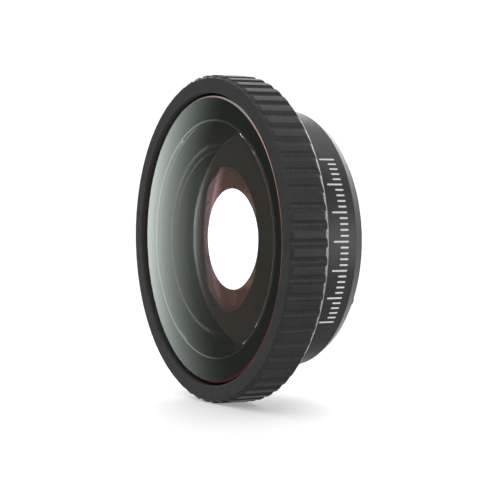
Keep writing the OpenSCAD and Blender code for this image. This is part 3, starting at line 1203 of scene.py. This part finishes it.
@dataclass
class BarrelBody:
    """Main body with its bright-cut rear cone, the scale printed on its side and the enamel dot on top."""

    metal: bpy.types.Material
    ink: bpy.types.Material
    enamel: bpy.types.Material
    cone_length: float = 1.3 * MM
    cone_drop: float = 0.8 * MM
    cone_shine: float = 0.5
    cone_margin: float = 0.01 * MM
    neck_step: float = 0.7 * MM
    baffle_thread: float = 0.7 * MM
    mount_wall: float = 1.25 * MM
    corner_round: float = 0.06 * MM
    columns: int = 320
    ticks: int = 31
    ticks_per_long: int = 5
    tick_pitch: float = math.radians(2.5)
    tick_width: float = 0.26 * MM
    tick_corners: int = 16
    short_tick: float = 1.3 * MM
    long_tick: float = 2.4 * MM
    print_height: float = 0.02 * MM
    scale_setback: float = 1.2 * MM
    dot_radius: float = 0.6 * MM
    dot_swell: float = 0.08 * MM
    dot_root: float = 0.1 * MM
    dot_rows: int = 12
    dot_columns: int = 48

    def build(self) -> Shell:
        """The body's outside and the stepped bore that seats everything inside it.

        Returns:
            The body, with its bright-cut cone marked.
        """
        body, ring, baffle = Extent.of("barrel"), Extent.of("grip_ring"), Extent.of("inner_baffle")
        middle, rear = Extent.of("middle_element"), Extent.of("rear_element")
        stop, retainer = Extent.of("aperture_stop"), Extent.of("rear_retaining_ring")
        seal = Extent.of("socket_seal")
        pilot = next(m for m in frame["record"]["mounts"] if m["name"] == "pilot_bore")["dims"]["r_mm"] * MM
        neck = body.radius - self.neck_step
        thread = neck - self.baffle_thread
        mount = body.radius - self.mount_wall
        cone_r, cone_front = body.radius - self.cone_drop, body.back + self.cone_length
        web = rear.radius - LENS_SEAT
        seat = rear.front - float(sag(InnerLenses.rear_front_curve, web))
        outline = [
            (mount, body.back),
            (cone_r, body.back),
            (body.radius, cone_front),
            (body.radius, ring.back),
            (neck, ring.back),
            (neck, body.front),
            (thread, body.front),
            (thread, baffle.back),
            (middle.radius, baffle.back),
            (middle.radius, middle.back),
            (web, middle.back),
            (web, seat),
            (rear.radius, seat),
            (rear.radius, stop.back),
            (retainer.radius, stop.back),
            (retainer.radius, retainer.back),
            (pilot, retainer.back),
            (pilot, seal.front),
            (seal.radius, seal.front),
            (seal.radius, seal.back),
            (mount, seal.back),
        ]
        profile = rounded(outline, self.corner_round)
        on_cone = (profile[:, 0] > cone_r - self.cone_margin) & (profile[:, 1] < cone_front)
        return Shell.turned(profile, self.columns, {"bright": self.cone_shine * on_cone})

    def scale(self) -> Shell:
        """A row of printed ticks that follow the barrel, every fifth one long.

        Each tick is a bar with round ends. Its outline is half a circle at each end, and its two faces
        lie on the barrel's surface and a print's thickness above it.

        Returns:
            All the ticks.
        """
        body = Extent.of("barrel")
        number = np.arange(self.ticks) - self.ticks // 2
        length = np.where(number % self.ticks_per_long == 0, self.long_tick, self.short_tick)[:, None]
        sweep = circle(self.tick_corners)[None]
        half_w = self.tick_width / 2
        base = body.back + self.cone_length + self.scale_setback
        along = half_w * np.cos(sweep) + np.sign(np.cos(sweep)) * (length / 2 - half_w)
        station = base + length / 2 + along
        angle = number[:, None] * self.tick_pitch + half_w * np.sin(sweep) / body.radius
        low = laid_in_frame(np.full(angle.shape, body.radius - FIT), station, angle)
        high = laid_in_frame(np.full(angle.shape, body.radius + self.print_height), station, angle)
        points = np.concatenate([low, high], axis=1)
        j = np.arange(self.tick_corners)
        beside = (j + 1) % self.tick_corners
        above, above_beside = j + self.tick_corners, beside + self.tick_corners
        first = (np.arange(self.ticks) * 2 * self.tick_corners)[:, None]
        walls = np.stack([j, beside, above_beside, above], axis=-1)[None] + first[:, None]
        lids = np.concatenate([j[::-1] + first, above + first])
        return Shell(points.reshape(-1, 3), [walls.reshape(-1, 4), lids])

    def dot(self) -> Shell:
        """A drop of enamel: a shallow dome over a short cylinder, on the barrel's top.

        The dome rises by swell * (1 - (distance / radius)^2).

        Returns:
            The dot.
        """
        low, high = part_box("index_dot")
        station = -(low.y + high.y) / 2
        root = float(low.z) - self.dot_root
        out = np.linspace(0.0, self.dot_radius, self.dot_rows)
        dome = np.stack([out, float(high.z) + self.dot_swell * (1 - (out / self.dot_radius) ** 2)], axis=1)
        shell = Shell.domed(np.concatenate([dome, [[self.dot_radius, root], [0.0, root]]]), self.dot_columns)
        x, y, z = shell.points.T
        return Shell(np.stack([x, z - station, -y], axis=1), shell.faces)

    def make(self) -> None:
        """Builds the body, the print and the dot."""
        Piece("barrel_body", Slot.BARREL, ("barrel",), (self.metal,)).publish(self.build())
        Piece("tick_scale", Slot.INK, (), (self.ink,)).publish(self.scale())
        Piece("enamel_dot", Slot.ENAMEL, ("index_dot",), (self.enamel,)).publish(self.dot())


@dataclass
class LightTraps:
    """Blackened parts inside: the ridged cone, the stop and the threaded retaining ring."""

    black: bpy.types.Material
    ridges: int = 9
    ridge_depth: float = 0.05 * MM
    cone_foot: float = 0.25 * MM
    lip: float = 0.7 * MM
    stop_radius: float = 7.5 * MM
    stop_thickness: float = 0.3 * MM
    stop_round: float = 0.03 * MM

    def baffle(self) -> Shell:
        """A cone whose inside is a row of ridges, each a step forward and a slope back outward.

        Returns:
            The baffle, whose foot follows the middle element's front.
        """
        size, middle = Extent.of("inner_baffle"), Extent.of("middle_element")
        clear = middle.radius - 2 * LENS_SEAT
        foot = middle.front - float(sag(InnerLenses.middle_front_curve, clear))
        rim = middle.front - float(sag(InnerLenses.middle_front_curve, middle.radius))
        start = foot + self.cone_foot
        t = np.linspace(0.0, 1.0, 2 * self.ridges + 1)
        r = clear + (size.radius - self.lip - clear) * t
        s = start + (size.front - start) * t - self.ridge_depth * (np.arange(len(t)) % 2)
        cone = np.stack([r, s], axis=1)[::-1]
        outline = [
            [clear, foot + FIT],
            [middle.radius, rim + FIT],
            [middle.radius, size.back],
            [size.radius, size.back],
            [size.radius, size.front],
        ]
        return Shell.turned(np.concatenate([outline, cone]))

    def stop(self) -> Shell:
        """A thin plate with a knife edge and a rim that bears on the rear lens.

        Returns:
            The stop.
        """
        size, rear = Extent.of("aperture_stop"), Extent.of("rear_element")
        clear = rear.radius - LENS_SEAT
        plate = size.back + self.stop_thickness
        outline = [
            (self.stop_radius, size.back),
            (size.radius, size.back),
            (size.radius, size.front - FIT),
            (clear, size.front - FIT),
            (clear, plate),
            (self.stop_radius + self.stop_thickness / 2, plate),
        ]
        return Shell.turned(rounded(outline, self.stop_round))

    def make(self) -> None:
        """Builds the three parts."""
        for name, node, shell in (
            ("ridged_baffle", "inner_baffle", self.baffle()),
            ("stop_plate", "aperture_stop", self.stop()),
            ("slotted_retainer", "rear_retaining_ring", Shell.of_node("rear_retaining_ring")),
        ):
            Piece(name, Slot.BLACKENING, (node,), (self.black,)).publish(shell)


@dataclass
class RearMount:
    """Bayonet ring with its screws, the rubber washer, and the sprung click pins."""

    metal: bpy.types.Material
    rubber: bpy.types.Material
    screw: bpy.types.Material
    pin: bpy.types.Material
    spring: bpy.types.Material
    seal_width: float = 1.05 * MM
    seal_round: float = 0.16 * MM
    seal_columns: int = 200
    tip_radius: float = 0.5 * MM
    tip_rows: int = 14
    head_thickness: float = 0.45 * MM
    head_round: float = 0.05 * MM
    pin_columns: int = 64
    wire_radius: float = 0.09 * MM
    turns: float = 4.5
    steps_in_turn: int = 32

    def washer(self) -> Shell:
        """A rubber ring with rounded edges.

        Returns:
            The washer.
        """
        size = Extent.of("socket_seal")
        inner = size.radius - self.seal_width
        outline = flat_ring(inner, size.radius - FIT, size.back, size.front - FIT)
        return Shell.turned(rounded(outline, self.seal_round), self.seal_columns)

    def click_pin(self, node: str) -> tuple[Shell, Vector]:
        """A pin turned about its own axis: a round tip, a shank and a head with softened edges.

        Args:
            node: the pin's node, whose box gives its place and its head's size.

        Returns:
            The shell, and the point on its axis at the front of its head.
        """
        low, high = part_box(node)
        head = float(high.x - low.x) / 2
        centre = Vector(((low.x + high.x) / 2, 0.0, (low.z + high.z) / 2))
        back, front = -float(high.y), -float(low.y)
        tip_r, soft = self.tip_radius, self.head_round
        sweep = np.linspace(0.0, math.pi / 2, self.tip_rows)
        tip = np.stack([tip_r * np.sin(sweep), back + tip_r * (1 - np.cos(sweep))], axis=1)
        shelf = front - self.head_thickness
        head_line = [
            [tip_r, shelf - soft],
            [tip_r, shelf],
            [head - soft, shelf],
            [head, shelf + soft],
            [head, front - soft],
            [head - soft, front],
            [0.0, front],
        ]
        shell = Shell.domed(np.concatenate([tip, head_line]), self.pin_columns)
        return shell.moved(centre), Vector((centre.x, -front, centre.z))

    def click_spring(self, node: str) -> Shell:
        """A coil: its centre line goes round a circle while the station rises evenly with the angle.

        Args:
            node: the spring's node, whose box gives its place and size.

        Returns:
            The spring.
        """
        low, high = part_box(node)
        centre = np.array([(low.x + high.x) / 2, 0.0, (low.z + high.z) / 2])
        coil = float(high.x - low.x) / 2 - self.wire_radius
        count = int(self.turns * self.steps_in_turn)
        turn = np.linspace(0.0, 2 * math.pi * self.turns, count + 1)
        back, front = -float(high.y) + self.wire_radius, -float(low.y) - self.wire_radius
        station = np.linspace(back, front, count + 1)
        out = laid_in_frame(np.ones_like(turn), np.zeros_like(turn), turn)
        path = centre + coil * out - np.stack([0 * turn, station, 0 * turn], axis=1)
        up = np.broadcast_to(np.array([0.0, 1.0, 0.0]), path.shape)
        return Shell.swept(path, out, up, self.wire_radius)

    def make(self) -> None:
        """Builds the mount, its fasteners and the three pins with their springs."""
        for name, slot, node, finish, shell in (
            ("bayonet_ring", Slot.MOUNT, "mount_ring", self.metal, Shell.of_node("mount_ring")),
            ("cross_screws", Slot.SCREWS, "mount_screws", self.screw, Shell.of_node("mount_screws")),
            ("rubber_washer", Slot.RUBBER, "socket_seal", self.rubber, self.washer()),
        ):
            Piece(name, slot, (node,), (finish,)).publish(shell)
        for number, body in enumerate((Body.PIN_1, Body.PIN_2, Body.PIN_3), 1):
            pin_node, spring_node = f"click_pin_{number}", f"click_spring_{number}"
            shell, head = self.click_pin(pin_node)
            Piece(f"round_tip_pin_{number}", Slot.PINS, (pin_node,), (self.pin,), body).publish(shell)
            coil = Piece(f"coil_spring_{number}", Slot.SPRINGS, (spring_node,), (self.spring,))
            spring = coil.publish(self.click_spring(spring_node), ride=False)
            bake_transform(spring)


# ---------------------------------------------------------------------------------------------------
# Studio


@dataclass(frozen=True)
class Panel:
    """A soft light: the direction it stands in, its distance, its size and how bright its face is."""

    name: str
    azimuth: float
    elevation: float
    distance: float
    width: float
    height: float
    radiance: float
    through_glass: bool = True

    def switch_on(self) -> None:
        """Adds the light, aimed at the camera seat's centre, where the frame's origin lies."""
        a, e = math.radians(self.azimuth), math.radians(self.elevation)
        out = Vector((math.sin(a) * math.cos(e), -math.cos(a) * math.cos(e), math.sin(e)))
        light = bpy.data.lights.new(self.name, "AREA")
        light.shape = "RECTANGLE"
        light.size, light.size_y = self.width, self.height
        light.energy = self.radiance * math.pi * self.width * self.height
        lamp = bpy.data.objects.new(self.name, light)
        lamp.location = out * self.distance
        lamp.rotation_euler = (-out).to_track_quat("-Z", "Y").to_euler()
        bpy.context.scene.collection.objects.link(lamp)
        lamp.visible_transmission = self.through_glass


@dataclass
class Studio:
    """White cyclorama, pale floor, soft lights and the camera.

    The camera's distance and aim are in radii of the grip ring, and the floor's fade is in millimetres.
    """

    azimuth: float = 60.19
    elevation: float = 2.0
    distance: float = 10.976
    aim_right: float = 0.2634
    aim_up: float = -0.0643
    lens_mm: float = 129.6
    sensor_mm: float = 36.0
    clip: Span = (0.01, 20.0)
    background: float = 1.1
    glow: float = 2.5
    glow_power: float = 2.0
    glow_ends: Span = (0.46, 0.8)
    shade_ends: Span = (-0.5, 0.3)
    shade: float = 0.25
    ambient: float = 0.09
    backlight: float = 3.2
    backlight_ends: Span = (-0.05, 0.1)
    inner_ambient: float = 0.21
    inner_tone: Colour = (1.0, 0.62, 0.56)
    untinted: float = 0.8
    floor_rings: tuple[float, ...] = (0.05, 0.12, 0.25, 0.6)
    floor_columns: int = 96
    floor_fade: Span = (40.0, 180.0)
    floor_glow: float = 0.3
    paper: Colour = (0.9, 0.9, 0.9)
    paper_fibre: Colour = (0.94, 0.94, 0.94)
    paper_roughness: float = 0.6
    fibres_per_mm: float = 0.8
    panels: tuple[Panel, ...] = (
        Panel("overhead", 60.0, 88.0, 0.5, 0.75, 0.75, 1.35, through_glass=False),
        Panel("front_fill", 48.0, 27.0, 0.8, 0.4, 0.4, 3.0),
        Panel("side_strip", 120.0, -2.0, 0.8, 0.35, 0.45, 2.9),
    )

    def directions(self) -> tuple[Vector, Vector, Vector]:
        """Works out how the camera is turned.

        Returns:
            Its right, up and forward directions in the frame.
        """
        a, e = math.radians(self.azimuth), math.radians(self.elevation)
        forward = Vector((-math.sin(a) * math.cos(e), math.cos(a) * math.cos(e), -math.sin(e)))
        right = Vector((math.cos(a), math.sin(a), 0.0))
        return right, right.cross(forward), forward

    def camera(self) -> None:
        """Stands the camera off the front rim by a number of ring radii."""
        ring = Extent.of("grip_ring")
        right, up, forward = self.directions()
        rim = Vector((0.0, -ring.front, 0.0))
        step = right * self.aim_right + up * self.aim_up - forward * self.distance
        data = bpy.data.cameras.new("camera")
        data.lens, data.sensor_width = self.lens_mm, self.sensor_mm
        data.clip_start, data.clip_end = self.clip
        eye = bpy.data.objects.new("camera", data)
        eye.location = rim + step * ring.radius
        eye.rotation_euler = forward.to_track_quat("-Z", "Y").to_euler()
        bpy.context.scene.collection.objects.link(eye)
        bpy.context.scene.camera = eye

    def surround(self) -> None:
        """A white surround that is bright behind the lens and dimmer on the camera's side.

        Its own light in a direction is glow * rise^2 * below + ambient. Rise goes from 0 to 1 with the
        direction's part along the view, and below dims what comes from under the horizon. Rays that
        come out of the glass see more light from behind the lens, and a warm tone where there is
        little. The camera sees plain white.
        """
        world = bpy.data.worlds.new("cyclorama")
        world.use_nodes = True
        net = NodeNet(world.node_tree)
        towards = net.node("ShaderNodeTexCoord").outputs["Generated"]
        parts = net.parts(towards)
        path = net.node("ShaderNodeLightPath").outputs
        view = net.node("ShaderNodeVectorMath", operation="DOT_PRODUCT")
        net.feed(view.inputs[0], towards)
        net.feed(view.inputs[1], tuple(self.directions()[2]))
        rise = net.ramp(view.outputs["Value"], self.glow_ends, UNIT, Ramp.STRAIGHT)
        below = net.ramp(parts["Z"], self.shade_ends, (self.shade, 1.0), Ramp.STRAIGHT)
        shaped = net.maths("MULTIPLY", net.maths("POWER", rise, self.glow_power), below)
        outer = net.maths("MULTIPLY_ADD", shaped, self.glow, self.ambient)
        levels = (self.inner_ambient, self.backlight)
        rear = net.ramp(parts["Y"], self.backlight_ends, levels, Ramp.STRAIGHT)
        inner = net.maths("MAXIMUM", rear, outer)
        lit = net.choose(path["Is Transmission Ray"], outer, inner)
        seen = net.choose(path["Is Camera Ray"], lit, self.background)
        faint = net.ramp(inner, (self.inner_ambient, self.untinted), (1.0, 0.0), Ramp.STRAIGHT)
        share = net.maths("MULTIPLY", faint, path["Is Transmission Ray"])
        back = world.node_tree.nodes["Background"]
        net.feed(back.inputs["Strength"], seen)
        net.feed(back.inputs["Color"], net.blend(share, WHITE, self.inner_tone))
        bpy.context.scene.world = world

    def floor(self) -> None:
        """A pale disc under the lens that fades into the surround, and that glass and gloss don't see."""
        low, columns = frame_box[0].z, self.floor_columns
        angle, reach = circle(columns), np.array(self.floor_rings)[:, None]
        level = np.full((len(reach), columns), low)
        rings = np.stack([reach * np.cos(angle), reach * np.sin(angle), level], axis=-1)
        points = np.concatenate([rings.reshape(-1, 3), [[0.0, 0.0, low]]])
        j = np.arange(columns)
        fan = np.stack([np.full(columns, len(points) - 1), j, (j + 1) % columns], axis=-1)
        quads = ring_faces(len(reach), columns, False)[:, ::-1]
        mesh = bpy.data.meshes.new("studio_floor")
        mesh.from_pydata(points, [], fan.tolist() + quads.tolist())
        net = ShaderNet("studio_paper")
        place = net.millimetres()
        length = net.node("ShaderNodeVectorMath", operation="LENGTH")
        net.feed(length.inputs[0], place)
        fibre = net.noise(place, self.fibres_per_mm)
        net.dress(
            Base_Color=net.blend(fibre, self.paper, self.paper_fibre),
            Roughness=self.paper_roughness,
            Alpha=net.ramp(length.outputs["Value"], self.floor_fade, (1.0, 0.0)),
            Emission_Color=WHITE,
            Emission_Strength=self.floor_glow,
        )
        mesh.materials.append(net.material)
        sheet = bpy.data.objects.new("studio_floor", mesh)
        bpy.context.scene.collection.objects.link(sheet)
        sheet.visible_glossy = False
        sheet.visible_transmission = False

    def make(self) -> None:
        """Sets up the camera, the surround, the floor and the lights."""
        self.camera()
        self.surround()
        self.floor()
        for panel in self.panels:
            panel.switch_on()
        bpy.context.scene.view_settings.view_transform = "Standard"


def main() -> None:
    """Builds the studio and every sub-assembly."""
    black = DullBlack("optical_black").material()
    # partly painted reflection: a black made warmer and lighter than the optical black, standing in for the
    # brownish reflections inside
    trap = DullBlack("warm_trap_black", (0.022, 0.018, 0.017), (0.031, 0.026, 0.024)).material()
    rubber = DullBlack(
        "moulded_rubber", (0.012, 0.012, 0.012), (0.022, 0.021, 0.021), roughness=0.7, tooth_per_mm=6.0
    ).material()
    ring_metal = Anodising(
        "black_anodising",
        dye=(0.037, 0.037, 0.038),
        worn=(0.042, 0.042, 0.043),
        metal=0.06,
        gloss=(0.44, 0.5),
        # painted glints in the groove floors
        groove_glint=0.45,
        specular=0.3,
    ).material()
    barrel_metal = Anodising(
        "grey_anodising",
        dye=(0.066, 0.066, 0.068),
        worn=(0.074, 0.074, 0.076),
        metal=0.3,
        gloss=(0.37, 0.41),
        grain_per_mm=6.0,
    ).material()
    mount_metal = Anodising(
        "satin_black_anodising",
        dye=(0.02, 0.02, 0.021),
        worn=(0.027, 0.027, 0.028),
        metal=0.0,
        gloss=(0.55, 0.65),
        specular=0.05,
    ).material()
    front_glass = CoatedGlass("front_coated_glass", 1.85, (0.55, 1.0, 0.68), coat=0.5).material()
    middle_glass = CoatedGlass("middle_coated_glass", 1.95, (1.0, 0.5, 0.42)).material()
    rear_glass = CoatedGlass("rear_coated_glass", 1.7, (1.0, 0.28, 0.2)).material()
    ink = Lacquer("white_ink", (0.86, 0.86, 0.86), (0.78, 0.78, 0.78), 0.5).material()
    enamel = Lacquer("red_enamel_drop", (0.62, 0.03, 0.02), (0.5, 0.02, 0.015), 0.15, coat=0.6).material()
    screw_steel = Steel("blackened_screw_steel", (0.26, 0.26, 0.27), 0.3).material()
    pin_steel = Steel("bright_pin_steel", (0.7, 0.7, 0.7), 0.16).material()
    wire = Steel("drawn_spring_wire", (0.58, 0.58, 0.56), 0.28, stretch=(1.0, 1.0, 1.0)).material()
    assemblies = (
        Studio(),
        GripRing(ring_metal),
        FrontGlass(front_glass, black, GroundEdge().material(), LitChamfer().material(), rubber),
        InnerLenses(middle_glass, rear_glass, trap),
        BarrelBody(barrel_metal, ink, enamel),
        LightTraps(trap),
        RearMount(mount_metal, rubber, screw_steel, pin_steel, wire),
    )
    for assembly in assemblies:
        assembly.make()
        log.info("finished %s", type(assembly).__name__)


if __name__ == "__main__":
    logging.basicConfig(level=logging.INFO, format="%(name)s: %(message)s")
    main()
